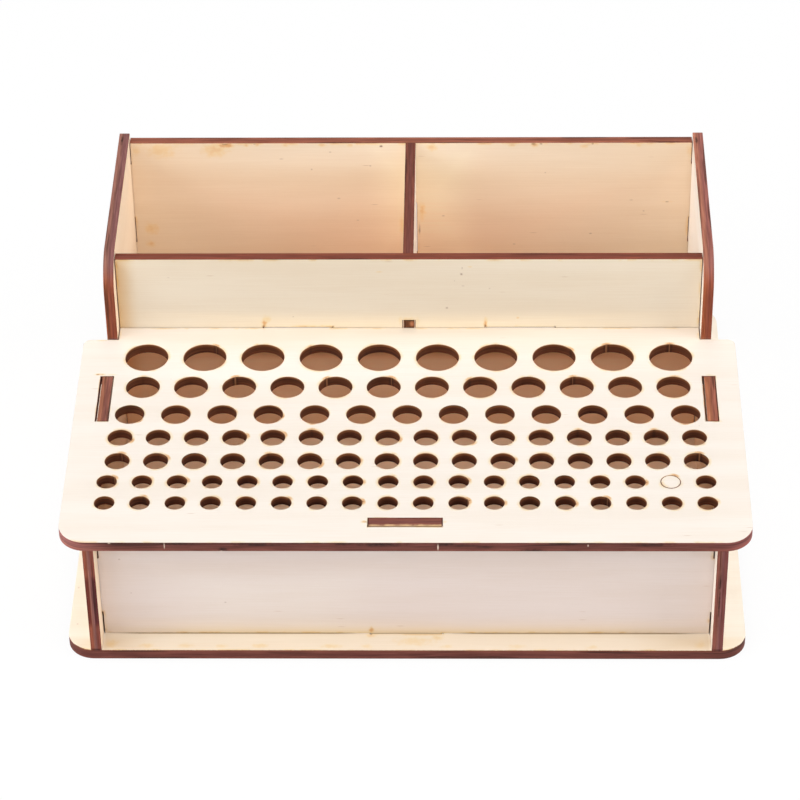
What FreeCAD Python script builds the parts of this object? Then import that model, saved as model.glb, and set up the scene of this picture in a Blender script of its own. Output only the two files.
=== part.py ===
import FreeCAD, Part
import math
import os
from collections import namedtuple
from FreeCAD import Vector

# Tool holder stand of laser-cut plywood: a raised deck with seven graded rows of round holes,
# and two open bins behind it. Every piece is one flat sheet, held by tabs that pass through slots.
# Millimetres. X runs to the right, Y runs to the back and Z is up. The origin is on the table,
# under the middle of the base. Names that end in FROM_FRONT are measured from the front edge.

# Sheet and overall sizes
SHEET = 4.0                 # thickness of every board
WIDTH = 250.0               # base and deck, side to side
DEPTH = 207.5               # base and side boards, front to back
TOOL_SPACE = 48.7           # clear height between the base and the deck
BIN_WALL_RISE = 32.8        # bin front, divider and rear board, above the top of the deck
SIDE_RISE = 2.0             # side boards, above the top of the bin walls
SIDE_MARGIN = 9.0           # from the base's edge in to the outer face of a side board
CORNER_R = 10.0             # corners of the base and front corners of the deck
EAR_CORNER_R = 3.0          # rear corners of the deck, outside the side boards
SIDE_CORNER_R = 13.5        # upper front corner of a side board

# Where the upright boards stand
LOWER_FRONT_FROM_FRONT = 9.5
BIN_FRONT_FROM_FRONT = 126.0
SIDE_STEP_FROM_FRONT = 118.6    # where a side board rises past the deck

# Tabs, slots and the play between pieces
TAB = 26.4                  # length of every tab
TAB_END_PLAY = 0.3          # from a tab's end to the end of its slot
SLOT_SIDE_PLAY = 0.2        # from a tab's face to the side of its slot
LOOSE_SIDE_PLAY = 0.5       # the same in the deck, and at the divider's front tab
BOARD_PLAY = 0.25           # from a cross board's edge to the side board beside it
FRONT_BOARD_PLAY = 0.45     # the same at the lower front board
TONGUE_PLAY = 0.3           # from the deck's tongue to the side board beside it
TONGUE_END_PLAY = 0.15      # from the deck's tongue to the bin front
STEP_PLAY = 0.1             # from the deck's ear to the riser of the side board
LOW_TAB_HEIGHT = 27.8       # middle of the lower tabs in the side boards, above the table
HIGH_TAB_DROP = 23.3        # middle of the rear board's upper tabs, below the bin walls' top
DECK_TAB_FROM_FRONT = 82.3  # middle of the tab that each side board sends up through the deck
PAIR_TAB_X = 42.9           # middle of the paired tabs of the tongue and the long boards
FOOT_TAB_INSET = 52.0       # middle of a side board's foot tabs, from its front and rear edges

# Holes: diameter, how many in a row, and from the deck's side to the middle of a row's end hole
XL_HOLE, XL_COUNT, XL_INSET = 16.4, 10, 25.0
L_HOLE, L_COUNT, L_INSET = 12.8, 12, 24.8
M_HOLE, M_COUNT, M_INSET = 11.0, 13, 21.0
S_HOLE, S_COUNT, S_INSET = 9.2, 16, 18.4
XS_HOLE, XS_COUNT, XS_INSET = 7.45, 18, 15.5
FIRST_ROW_FROM_FRONT = 22.0     # middle of the front row
PAIR_WEB = 4.4                  # wood left between the two rows of a pair
NEXT_WEB = 3.5                  # wood left between one pair and the next

# Cut-out disc that was never pushed out of its hole
DISC_ROW_NUMBER = 2         # counted from the front
DISC_HOLE_NUMBER = 17       # counted from the left
KERF = 0.2                  # width of the cut around the disc

# Heights and places that follow from the sizes above
FRONT = -DEPTH / 2
REAR = DEPTH / 2
DECK_UNDER = SHEET + TOOL_SPACE
DECK_TOP = DECK_UNDER + SHEET
BIN_WALL_TOP = DECK_TOP + BIN_WALL_RISE
SIDE_TOP = BIN_WALL_TOP + SIDE_RISE
SIDE_OUTER = WIDTH / 2 - SIDE_MARGIN
SIDE_INNER = SIDE_OUTER - SHEET
LOWER_FRONT_Y = FRONT + LOWER_FRONT_FROM_FRONT
BIN_FRONT_Y = FRONT + BIN_FRONT_FROM_FRONT
BIN_FRONT_BACK = BIN_FRONT_Y + SHEET
REAR_BOARD_Y = REAR - SHEET
STEP_Y = FRONT + SIDE_STEP_FROM_FRONT
EAR_BACK = STEP_Y - STEP_PLAY
DECK_TAB_Y = FRONT + DECK_TAB_FROM_FRONT
FOOT_TABS_Y = (FRONT + FOOT_TAB_INSET, REAR - FOOT_TAB_INSET)
HIGH_TAB_HEIGHT = BIN_WALL_TOP - HIGH_TAB_DROP
DIVIDER_Y = (BIN_FRONT_BACK + REAR_BOARD_Y) / 2
DIVIDER_TAB_HEIGHT = (SHEET + BIN_WALL_TOP) / 2
PAIR_X = (-PAIR_TAB_X, PAIR_TAB_X)
SIDES = {-1: "side_board_left", 1: "side_board_right"}
X_AXIS, Y_AXIS, Z_AXIS = range(3)

# A tab is a block, given by its two ends along X, Y and Z. Its length, its thickness and its way
# through the other board each run along one axis.
Tab = namedtuple("Tab", "ends length thickness through")


def block(x, y, z):
    """A box between two values along each axis."""
    size = [high - low for low, high in (x, y, z)]
    return Part.makeBox(*size, Vector(x[0], y[0], z[0]))


def about(middle, length):
    """The two ends of a length that lies about its middle."""
    return (middle - length / 2, middle + length / 2)


def widened(ends, play):
    """Two ends with play added outside each."""
    return (ends[0] - play, ends[1] + play)


def on_side(side, near, far):
    """Two distances from the middle, as X values in order, on the left (-1) or right (+1)."""
    return tuple(sorted((side * near, side * far)))


def joined(board, pieces):
    """One clean solid of a board and the pieces that belong to it."""
    return board.fuse(pieces).removeSplitter()


def cut(board, pieces):
    """The board without its slots or holes."""
    return board.cut(Part.makeCompound(pieces))


def rounded(board, corners, radius, axis):
    """Rounds the board's edges that run along an axis through the given corners of its outline."""
    a, b = [i for i in (X_AXIS, Y_AXIS, Z_AXIS) if i != axis]
    chosen = []
    for edge in board.Edges:
        start, end = [v.Point for v in edge.Vertexes]
        for u, v in corners:
            if all(math.hypot(p[a] - u, p[b] - v) < SHEET / 100 for p in (start, end)):
                chosen.append(edge)
    return board.makeFillet(radius, chosen)


def tab_solid(tab):
    """The wood of a tab."""
    return block(*tab.ends)


def slot_for(tab, side_play=SLOT_SIDE_PLAY):
    """The slot that a tab needs: play at its ends and faces, and long enough to cut right through."""
    ends = list(tab.ends)
    ends[tab.length] = widened(ends[tab.length], TAB_END_PLAY)
    ends[tab.thickness] = widened(ends[tab.thickness], side_play)
    ends[tab.through] = widened(ends[tab.through], SHEET)
    return block(*ends)


def foot_tabs_across(y, middles):
    """Tabs down through the base of a board that stands across the stand, front face at y."""
    return [Tab((about(x, TAB), (y, y + SHEET), (0.0, SHEET)), X_AXIS, Y_AXIS, Z_AXIS) for x in middles]


def tabs_into_side(side, y, heights):
    """Tabs of a board across the stand, front face at y, through one of the side boards."""
    reach = on_side(side, SIDE_INNER, SIDE_OUTER)
    return [Tab((reach, (y, y + SHEET), about(z, TAB)), Z_AXIS, Y_AXIS, X_AXIS) for z in heights]


def side_foot_tabs(side):
    """Tabs of a side board down through the base."""
    thick = on_side(side, SIDE_INNER, SIDE_OUTER)
    return [Tab((thick, about(y, TAB), (0.0, SHEET)), Y_AXIS, X_AXIS, Z_AXIS) for y in FOOT_TABS_Y]


def side_deck_tab(side):
    """Tab of a side board up through the deck."""
    thick = on_side(side, SIDE_INNER, SIDE_OUTER)
    return Tab((thick, about(DECK_TAB_Y, TAB), (DECK_UNDER, DECK_TOP)), Y_AXIS, X_AXIS, Z_AXIS)


# The three boards across the stand: front face, heights of their side tabs, middles of their foot tabs
Across = namedtuple("Across", "y heights feet")
LOWER_FRONT = Across(LOWER_FRONT_Y, (LOW_TAB_HEIGHT,), (0.0,))
BIN_FRONT = Across(BIN_FRONT_Y, (LOW_TAB_HEIGHT,), PAIR_X)
REAR_BOARD = Across(REAR_BOARD_Y, (LOW_TAB_HEIGHT, HIGH_TAB_HEIGHT), PAIR_X)
ACROSS = (LOWER_FRONT, BIN_FRONT, REAR_BOARD)

# Tab of the lower front board up through the deck
FRONT_DECK_TAB = Tab(
    (about(0.0, TAB), (LOWER_FRONT_Y, LOWER_FRONT_Y + SHEET), (DECK_UNDER, DECK_TOP)),
    X_AXIS, Y_AXIS, Z_AXIS,
)

# Tabs of the deck's tongue back through the bin front
TONGUE_TABS = [
    Tab((about(x, TAB), (BIN_FRONT_Y, BIN_FRONT_BACK), (DECK_UNDER, DECK_TOP)), X_AXIS, Z_AXIS, Y_AXIS)
    for x in PAIR_X
]

# Tabs of the divider: forward, back and down
DIVIDER_X = about(0.0, SHEET)
DIVIDER_Z = about(DIVIDER_TAB_HEIGHT, TAB)
DIVIDER_FRONT_TAB = Tab((DIVIDER_X, (BIN_FRONT_Y, BIN_FRONT_BACK), DIVIDER_Z), Z_AXIS, X_AXIS, Y_AXIS)
DIVIDER_REAR_TAB = Tab((DIVIDER_X, (REAR_BOARD_Y, REAR), DIVIDER_Z), Z_AXIS, X_AXIS, Y_AXIS)
DIVIDER_FOOT_TAB = Tab((DIVIDER_X, about(DIVIDER_Y, TAB), (0.0, SHEET)), Y_AXIS, X_AXIS, Z_AXIS)


def hole_rows():
    """The middles of the deck's holes, row by row from the front, each as X, Y and diameter.

    The rows come in pairs. Two rows of a pair are PAIR_WEB apart, rim to rim, and the pairs
    are NEXT_WEB apart, so a wider hole moves every row behind it.
    """
    small, medium = (XS_HOLE, XS_COUNT, XS_INSET), (S_HOLE, S_COUNT, S_INSET)
    sizes = [small, small, medium, medium]
    sizes += [(M_HOLE, M_COUNT, M_INSET), (L_HOLE, L_COUNT, L_INSET), (XL_HOLE, XL_COUNT, XL_INSET)]
    rows = []
    y = FRONT + FIRST_ROW_FROM_FRONT
    for number, (hole, count, inset) in enumerate(sizes):
        if rows:
            last_hole = rows[-1][0][2]
            y += last_hole / 2 + (PAIR_WEB if number % 2 else NEXT_WEB) + hole / 2
        first = inset - WIDTH / 2
        step = -2 * first / (count - 1)
        rows.append([(first + i * step, y, hole) for i in range(count)])
    return rows


def base_plate():
    """The bottom board: all four corners are round, and every upright board stands in its slots."""
    board = block(about(0.0, WIDTH), (FRONT, REAR), (0.0, SHEET))
    corners = [(x, y) for x in about(0.0, WIDTH) for y in (FRONT, REAR)]
    board = rounded(board, corners, CORNER_R, Z_AXIS)
    standing = [DIVIDER_FOOT_TAB] + side_foot_tabs(-1) + side_foot_tabs(1)
    for across in ACROSS:
        standing += foot_tabs_across(across.y, across.feet)
    return cut(board, [slot_for(t) for t in standing])


def side_board(side):
    """A side board: low under the deck, then a riser with a round shoulder beside the bins."""
    thick = on_side(side, SIDE_INNER, SIDE_OUTER)
    low = block(thick, (FRONT, REAR), (SHEET, DECK_UNDER))
    high = block(thick, (STEP_Y, REAR), (SHEET, SIDE_TOP))
    high = rounded(high, [(STEP_Y, SIDE_TOP)], SIDE_CORNER_R, X_AXIS)
    tabs = side_foot_tabs(side) + [side_deck_tab(side)]
    board = joined(low, [high] + [tab_solid(t) for t in tabs])
    through = []
    for across in ACROSS:
        through += tabs_into_side(side, across.y, across.heights)
    return cut(board, [slot_for(t) for t in through])


def cross_board(across, top, play):
    """A board from side to side, with its tabs down into the base and out through both sides."""
    thick = (across.y, across.y + SHEET)
    half = SIDE_INNER - play
    board = block((-half, half), thick, (SHEET, top))
    pieces = [tab_solid(t) for t in foot_tabs_across(across.y, across.feet)]
    for side in SIDES:
        reach = on_side(side, half, SIDE_OUTER)
        pieces += [block(reach, thick, about(z, TAB)) for z in across.heights]
    return joined(board, pieces)


def lower_front_board():
    """The set-back board under the deck's front, with a tab up through the deck."""
    return joined(cross_board(LOWER_FRONT, DECK_UNDER, FRONT_BOARD_PLAY), [tab_solid(FRONT_DECK_TAB)])


def bin_front_board():
    """The front wall of the bins, from the base up, with slots for the tongue and the divider."""
    board = cross_board(BIN_FRONT, BIN_WALL_TOP, BOARD_PLAY)
    slots = [slot_for(t) for t in TONGUE_TABS] + [slot_for(DIVIDER_FRONT_TAB, LOOSE_SIDE_PLAY)]
    return cut(board, slots)


def rear_board():
    """The back wall of the bins, with two tabs in each side board."""
    board = cross_board(REAR_BOARD, BIN_WALL_TOP, BOARD_PLAY)
    return cut(board, [slot_for(DIVIDER_REAR_TAB)])


def bin_divider():
    """The board that parts the two bins."""
    board = block(DIVIDER_X, (BIN_FRONT_BACK, REAR_BOARD_Y), (SHEET, BIN_WALL_TOP))
    tabs = (DIVIDER_FRONT_TAB, DIVIDER_REAR_TAB, DIVIDER_FOOT_TAB)
    return joined(board, [tab_solid(t) for t in tabs])


def hole_deck():
    """The holed board: ears beyond the side boards, and a tongue between them to the bin front."""
    ends = about(0.0, WIDTH)
    board = block(ends, (FRONT, EAR_BACK), (DECK_UNDER, DECK_TOP))
    board = rounded(board, [(x, FRONT) for x in ends], CORNER_R, Z_AXIS)
    board = rounded(board, [(x, EAR_BACK) for x in ends], EAR_CORNER_R, Z_AXIS)
    half = SIDE_INNER - TONGUE_PLAY
    tongue_end = BIN_FRONT_Y - TONGUE_END_PLAY
    tongue = block((-half, half), (EAR_BACK - SHEET, tongue_end), (DECK_UNDER, DECK_TOP))
    rear_tabs = [block(t.ends[X_AXIS], (tongue_end, BIN_FRONT_BACK), t.ends[Z_AXIS]) for t in TONGUE_TABS]
    board = joined(board, [tongue] + rear_tabs)
    tabs_from_below = [side_deck_tab(side) for side in SIDES] + [FRONT_DECK_TAB]
    holes = [
        Part.makeCylinder(hole / 2, 3 * SHEET, Vector(x, y, DECK_UNDER - SHEET))
        for row in hole_rows() for x, y, hole in row
    ]
    return cut(board, [slot_for(t, LOOSE_SIDE_PLAY) for t in tabs_from_below] + holes)


def leftover_disc():
    """The waste disc that still sits in its hole, loose by the width of the cut."""
    x, y, hole = hole_rows()[DISC_ROW_NUMBER - 1][DISC_HOLE_NUMBER - 1]
    return Part.makeCylinder(hole / 2 - KERF, SHEET, Vector(x, y, DECK_UNDER))


# Build every piece and write one file each
solids = {
    "base_plate": base_plate(),
    "lower_front_board": lower_front_board(),
    "bin_front_board": bin_front_board(),
    "bin_divider": bin_divider(),
    "rear_board": rear_board(),
    "hole_deck": hole_deck(),
    "leftover_disc": leftover_disc(),
}
solids.update({name: side_board(side) for side, name in SIDES.items()})

os.makedirs("parts", exist_ok=True)
for name, shape in solids.items():
    shape = shape.Solids[0] if len(shape.Solids) == 1 else shape
    shape.exportStep(f"parts/{name}.step")
    box = shape.BoundBox
    print(f"{name}: {len(shape.Solids)} solid, valid {shape.isValid()}, {shape.Volume / 1000:.2f} cm3,",
          f"x {box.XMin:.2f} {box.XMax:.2f}, y {box.YMin:.2f} {box.YMax:.2f}, z {box.ZMin:.2f} {box.ZMax:.2f}")
print("holes in the deck:", sum(len(row) for row in hole_rows()))
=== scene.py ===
# %% [markdown]
# # Tool holder stand
# A desk stand of laser-cut plywood: a deck with seven graded rows of round holes, and two open
# bins behind it. Every piece is one flat sheet, 4 mm thick. Two things make such a stand look real:
# the burnt brown edge that the laser leaves all round, and the soft scorching on the pale faces
# beside it. So each board is rebuilt here with a fine lip along its cuts, and with a value in every
# corner of its mesh that says how near the next cut is. The finishes read that value.

# %% Load the frame
import math
import bmesh
import bpy
from mathutils import Matrix, Vector
from mathutils.bvhtree import BVHTree
from mathutils.geometry import delaunay_2d_cdt


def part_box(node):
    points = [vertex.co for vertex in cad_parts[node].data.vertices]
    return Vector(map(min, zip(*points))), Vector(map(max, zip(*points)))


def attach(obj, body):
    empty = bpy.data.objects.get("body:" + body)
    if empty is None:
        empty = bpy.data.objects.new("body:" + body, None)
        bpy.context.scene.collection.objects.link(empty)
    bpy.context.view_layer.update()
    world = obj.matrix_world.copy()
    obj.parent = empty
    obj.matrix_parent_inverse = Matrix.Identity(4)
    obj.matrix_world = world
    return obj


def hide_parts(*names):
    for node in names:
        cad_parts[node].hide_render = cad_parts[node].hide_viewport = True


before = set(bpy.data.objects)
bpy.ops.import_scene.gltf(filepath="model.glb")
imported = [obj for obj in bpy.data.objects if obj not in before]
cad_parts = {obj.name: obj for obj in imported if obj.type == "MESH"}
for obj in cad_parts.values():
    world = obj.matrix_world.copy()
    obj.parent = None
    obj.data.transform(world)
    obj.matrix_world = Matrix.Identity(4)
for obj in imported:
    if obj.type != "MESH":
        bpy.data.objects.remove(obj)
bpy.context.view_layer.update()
MM = 0.001
print("boards:", sorted(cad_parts))

# %% [markdown]
# ## Camera
# The stand is seen from the front and above, from far away with a long lens, so its sides lean
# together only a little. A camera can be aimed at a target, but the photograph is also turned a
# little about the line of sight. Three turns in a row say that plainly: tilt, swing and roll.

# %% Camera
CAMERA_PLACE = Vector((0.0217, -1.0381, 0.8765))
CAMERA_SWING = math.radians(1.384)
CAMERA_DOWN = math.radians(38.897)
CAMERA_ROLL = math.radians(-0.884)
LENS_MM = 156.26



def new_object(name, data):
    """An object in the scene."""
    made = bpy.data.objects.new(name, data)
    bpy.context.scene.collection.objects.link(made)
    return made


camera = new_object("camera", bpy.data.cameras.new("camera"))
camera.data.lens = LENS_MM
camera.data.clip_end = 20
aim = Matrix.Rotation(CAMERA_SWING, 4, "Z") @ Matrix.Rotation(math.pi / 2 - CAMERA_DOWN, 4, "X")
camera.matrix_world = Matrix.Translation(CAMERA_PLACE) @ aim @ Matrix.Rotation(CAMERA_ROLL, 4, "Z")
bpy.context.scene.camera = camera
bpy.context.scene.view_settings.view_transform = "Standard"
print("camera", round(CAMERA_PLACE.length, 3), "m from the stand")


# %% [markdown]
# ## Helpers for finishes
# A finish is a graph of nodes. A short class keeps such a graph readable: `add` places a node and
# sets its sockets by name, `plus` and `times` place a sum and a product, and `mix` and `tint` blend
# colours. An effect that several finishes share is a node group with named inputs and outputs, so
# that it is built once.

# %% Helpers for node graphs
class Graph:
    """Places nodes in a tree, and links or sets their sockets by name."""

    def __init__(self, tree):
        self.tree = tree

    def add(self, kind, settings=None, **inputs):
        node = self.tree.nodes.new(kind)
        for name, value in (settings or {}).items():
            setattr(node, name, value)
        for name, value in inputs.items():
            self.feed(node.inputs[name.replace("_", " ")], value)
        return node

    def feed(self, socket, value):
        if isinstance(value, bpy.types.NodeSocket):
            self.tree.links.new(value, socket)
        elif value is not None:
            is_plain_colour = socket.type == "RGBA" and len(value) == 3
            socket.default_value = (*value, 1) if is_plain_colour else value

    def math(self, operation, a, b=None, c=None, clamp=False):
        node = self.add("ShaderNodeMath", {"operation": operation, "use_clamp": clamp})
        for socket, value in zip(node.inputs, (a, b, c)):
            self.feed(socket, value)
        return node.outputs[0]

    def plus(self, a, b):
        return self.math("ADD", a, b)

    def minus(self, a, b):
        return self.math("SUBTRACT", a, b)

    def times(self, a, b, clamp=False):
        return self.math("MULTIPLY", a, b, clamp=clamp)

    def vector_math(self, operation, a, b=None):
        node = self.add("ShaderNodeVectorMath", {"operation": operation})
        for socket, value in zip(node.inputs, (a, b)):
            self.feed(socket, value)
        return node.outputs["Value" if operation in ("LENGTH", "DISTANCE") else "Vector"]

    def ramp(self, value, low, high, to_low=0.0, to_high=1.0, smooth=True):
        kind = "SMOOTHSTEP" if smooth else "LINEAR"
        node = self.add("ShaderNodeMapRange", {"interpolation_type": kind})
        names = ("Value", "From Min", "From Max", "To Min", "To Max")
        for name, given in zip(names, (value, low, high, to_low, to_high)):
            self.feed(node.inputs[name], given)
        return node.outputs["Result"]

    def mix(self, amount, a, b, blend="MIX"):
        node = self.add("ShaderNodeMix", {"data_type": "RGBA", "blend_type": blend})
        self.feed(node.inputs["Factor"], amount)
        for socket, value in zip(in_use(node.inputs, "RGBA"), (a, b)):
            self.feed(socket, value)
        return in_use(node.outputs, "RGBA")[0]

    def tint(self, colour, tint):
        return self.mix(1.0, colour, tint, blend="MULTIPLY")

    def noise(self, vector, scale, detail=2.0, roughness=0.5):
        settings = {"Scale": scale, "Detail": detail, "Roughness": roughness}
        return self.add("ShaderNodeTexNoise", Vector=vector, **settings).outputs["Fac"]

    def split(self, vector):
        return self.add("ShaderNodeSeparateXYZ", Vector=vector).outputs

    def combine(self, x=None, y=None, z=None):
        return self.add("ShaderNodeCombineXYZ", X=x, Y=y, Z=z).outputs[0]


def in_use(sockets, kind):
    """The sockets of one type that a node's settings leave in use."""
    return [socket for socket in sockets if socket.type == kind and socket.enabled]


def new_group(name, kind, inputs, outputs):
    """An empty node group with named sockets, its graph, and its input and output nodes."""
    tree = bpy.data.node_groups.new(name, kind)
    for socket_name, socket_kind, value in inputs:
        socket = tree.interface.new_socket(socket_name, in_out="INPUT", socket_type=socket_kind)
        if value is not None:
            socket.default_value = value
    for socket_name, socket_kind in outputs:
        tree.interface.new_socket(socket_name, in_out="OUTPUT", socket_type=socket_kind)
    graph = Graph(tree)
    return tree, graph, graph.add("NodeGroupInput").outputs, graph.add("NodeGroupOutput").inputs


FLOAT, VECTOR, COLOUR = "NodeSocketFloat", "NodeSocketVector", "NodeSocketColor"
print("helpers ready")

# %% [markdown]
# ## Wood grain
# The faces are a pale, even wood with faint fibres. Real fibres are long and thin, so the pattern
# is noise on coordinates that are squeezed along the grain. A slow noise makes the sheet a little
# uneven, a fine one gives the fibres, and a rare third one leaves small pin knots.

# %% Wood grain group
grain_group, g, given, out = new_group(
    "wood_grain", "ShaderNodeTree",
    [("Along grain", VECTOR, None), ("Knots", FLOAT, 0.5)],
    [("Shade", FLOAT), ("Fibre", FLOAT), ("Knot", FLOAT)],
)
place = given["Along grain"]
clouds = g.noise(place, 0.55, detail=3.0)
fibres = g.noise(g.vector_math("MULTIPLY", place, (1.0, 9.0, 9.0)), 2.6, detail=5.0, roughness=0.62)
spot_place = g.vector_math("MULTIPLY", place, (1.2, 1.7, 1.7))
spots = g.add("ShaderNodeTexVoronoi", {"feature": "F1"}, Vector=spot_place, Scale=2.1)
lot = g.add("ShaderNodeSeparateColor", Color=spots.outputs["Color"]).outputs[0]
rarity = g.math("GREATER_THAN", lot, 0.80)
dot = g.ramp(spots.outputs["Distance"], 0.02, 0.10, 1.0, 0.0)
shade = g.plus(g.times(clouds, 0.55), g.times(fibres, 0.45))
g.feed(out["Shade"], shade)
g.feed(out["Fibre"], fibres)
g.feed(out["Knot"], g.times(g.times(dot, rarity), given["Knots"]))
print("group", grain_group.name)

# %% [markdown]
# ## Scorch beside a cut
# The laser's heat browns the lip of every cut, and smoke leaves an orange haze on the face beside
# it, wider at the point where the beam started. The haze is ragged, so noise moves its border.
# `Nearness` is 1 at a cut and falls to 0 a little way into the face. `Start` does the same around
# the beam's starting point. `Brown line` widens the brown lip, as at the front of the base.

# %% Scorch group
scorch_group, g, given, out = new_group(
    "scorch", "ShaderNodeTree",
    [("Place", VECTOR, None), ("Nearness", FLOAT, 0.0), ("Start", FLOAT, 0.0), ("Haze", FLOAT, 0.5),
     ("Brown line", FLOAT, 0.0)],
    [("Browned", FLOAT), ("Hazed", FLOAT)],
)
ragged = g.noise(given["Place"], 1500.0, detail=3.0)
patches = g.ramp(g.noise(given["Place"], 160.0, detail=2.0), 0.46, 0.66)
wobble = g.minus(ragged, 0.5)
edge = g.math("MULTIPLY_ADD", wobble, 0.30, given["Nearness"])
browned = g.ramp(g.plus(edge, given["Brown line"]), 1.02, 1.14)
near_haze = g.times(g.ramp(edge, 0.02, 0.95), g.math("MULTIPLY_ADD", patches, 0.7, 0.3))
start_edge = g.math("MULTIPLY_ADD", wobble, g.times(given["Start"], 0.8), given["Start"])
start_haze = g.ramp(start_edge, 0.0, 0.95)
hazed = g.math("MULTIPLY_ADD", near_haze, given["Haze"], start_haze, clamp=True)
g.feed(out["Browned"], g.math("MAXIMUM", browned, g.ramp(start_edge, 0.74, 1.10)))
g.feed(out["Hazed"], hazed)
print("group", scorch_group.name)

# %% [markdown]
# ## Single stains
# Some marks sit at a certain place: a pin knot, a plume of smoke at the corner of a slot, a brush
# of orange on a bin's wall. One node group makes such a mark: an oval whose border is roughened by
# noise. The groups are chained, and each hands on the stronger of its own mark and the marks so far.

# %% Stain group
stain_group, g, given, out = new_group(
    "stain", "ShaderNodeTree",
    [("Marks so far", FLOAT, 0.0), ("Place", VECTOR, None), ("Centre", VECTOR, None),
     ("One over reach", VECTOR, None), ("Rough", FLOAT, 0.5), ("Strength", FLOAT, 1.0)],
    [("Marks", FLOAT)],
)
offset = g.vector_math("SUBTRACT", given["Place"], given["Centre"])
oval = g.vector_math("LENGTH", g.vector_math("MULTIPLY", offset, given["One over reach"]))
rough_oval = g.math("MULTIPLY_ADD", g.minus(given["Rough"], 0.5), 1.1, oval)
mark = g.times(g.ramp(rough_oval, 1.0, 0.0), given["Strength"])
g.feed(out["Marks"], g.math("MAXIMUM", given["Marks so far"], mark))
print("group", stain_group.name)


# %% Chains of stains
def stain_chain(graph, place, stains):
    """The strongest of a list of stains, each a centre and a reach in mm, and a strength."""
    if not stains:
        return 0.0
    rough = graph.noise(place, 520.0, detail=4.0)
    marks = 0.0
    for centre, reach, strength in stains:
        node = graph.add(
            "ShaderNodeGroup", {"node_tree": stain_group}, Marks_so_far=marks, Place=place,
            Centre=[c * MM for c in centre], One_over_reach=[1 / (r * MM) for r in reach],
            Rough=rough, Strength=strength,
        )
        marks = node.outputs["Marks"]
    return marks


# %% [markdown]
# ## Plywood faces
# One recipe serves every board. What differs is the way the grain runs, the tint of the sheet and
# its marks, so these are the function's arguments. The haze multiplies the wood's colour, as a stain
# does, and the browned lip covers it. The free ends of the deck and of the base stayed clean, so the
# haze stops there. A `shade` is a box in space in which the wood has another tint, with soft walls.

# %% Plywood face finish
YELLOW_HAZE = (0.98, 0.90, 0.71)
ORANGE_HAZE = (0.83, 0.55, 0.33)
BROWNED = (0.22, 0.09, 0.035)
KNOT_BROWN = (0.42, 0.22, 0.10)
DEEP_GRAIN = (0.955, 0.93, 0.90)
BROWN_LINE_FROM = (-98.5 * MM, -101.5 * MM)
HAZE = 0.65
HAZE_ENDS = (118.5 * MM, 121.0 * MM)
ALONG_GRAIN, ACROSS_GRAIN = 18.0, 160.0
BUMP_DEPTH = 0.2 * MM


def attribute(graph, name):
    return graph.add("ShaderNodeAttribute", {"attribute_name": name}).outputs["Fac"]


def new_material(name):
    """A material, the graph of its nodes and its surface."""
    material = bpy.data.materials.new(name)
    material.use_nodes = True
    return material, Graph(material.node_tree), material.node_tree.nodes["Principled BSDF"]


def dress(graph, surface, colour, roughness, specular, relief, height):
    """Gives a surface its colour, its shine and its fine relief."""
    graph.feed(surface.inputs["Base Color"], colour)
    surface.inputs["Roughness"].default_value = roughness
    surface.inputs["Specular IOR Level"].default_value = specular
    bump = graph.add("ShaderNodeBump", Strength=relief, Distance=BUMP_DEPTH, Height=height)
    graph.feed(surface.inputs["Normal"], bump.outputs["Normal"])


def shaded(graph, place, colour, shades):
    """The colour, tinted inside boxes in mm, each a middle, half a size, a blur and a tint."""
    for middle, half, blur, tint in shades:
        away = graph.vector_math("SUBTRACT", place, [m * MM for m in middle])
        away = graph.vector_math("ABSOLUTE", away)
        away = graph.split(graph.vector_math("DIVIDE", away, [h * MM for h in half]))
        outside = graph.math("MAXIMUM", away["X"], graph.math("MAXIMUM", away["Y"], away["Z"]))
        colour = graph.mix(graph.ramp(outside, 1.0, 1.0 - blur), colour, graph.tint(colour, tint))
    return colour


def plywood_face(name, grain_axis, wood, hazes=(), burns=(), shades=(), brown_line=0.0, turn=0.0):
    """A pale face whose fibres run along the given axis, scorched beside its cuts and stained."""
    material, g, surface = new_material(name)
    place = g.add("ShaderNodeTexCoord").outputs["Object"]
    squeeze = [ACROSS_GRAIN] * 3
    squeeze[grain_axis] = ALONG_GRAIN
    along = g.add("ShaderNodeMapping", Vector=place, Scale=squeeze, Location=[turn] * 3).outputs[0]
    grain = g.add("ShaderNodeGroup", {"node_tree": grain_group}, Along_grain=along, Knots=0.5)
    start = g.times(attribute(g, "start_mark"), attribute(g, "mark_strength"))
    spot = g.split(place)
    scorch = g.add(
        "ShaderNodeGroup", {"node_tree": scorch_group},
        Place=place, Nearness=attribute(g, "nearness"), Start=start,
        Haze=g.ramp(g.math("ABSOLUTE", spot["X"]), *HAZE_ENDS, HAZE, 0.0),
        Brown_line=g.ramp(spot["Y"], *BROWN_LINE_FROM, 0.0, brown_line),
    )
    # Painted light and shade: inside each shade box the wood's tint turns darker, lighter or warmer.
    wood = shaded(g, place, wood, shades)
    colour = g.mix(g.ramp(grain.outputs["Shade"], 0.36, 0.64), g.tint(wood, DEEP_GRAIN), wood)
    colour = g.mix(grain.outputs["Knot"], colour, KNOT_BROWN)
    smoke = g.math("MAXIMUM", scorch.outputs["Hazed"], stain_chain(g, place, hazes))
    haze = g.mix(g.ramp(smoke, 0.40, 1.0), YELLOW_HAZE, ORANGE_HAZE)
    colour = g.mix(g.ramp(smoke, 0.0, 0.55), colour, g.tint(colour, haze))
    browned = g.math("MAXIMUM", scorch.outputs["Browned"], stain_chain(g, place, burns))
    colour = g.mix(browned, colour, BROWNED)
    dress(g, surface, colour, roughness=0.72, specular=0.15, relief=0.12, height=grain.outputs["Fibre"])
    return material


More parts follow.
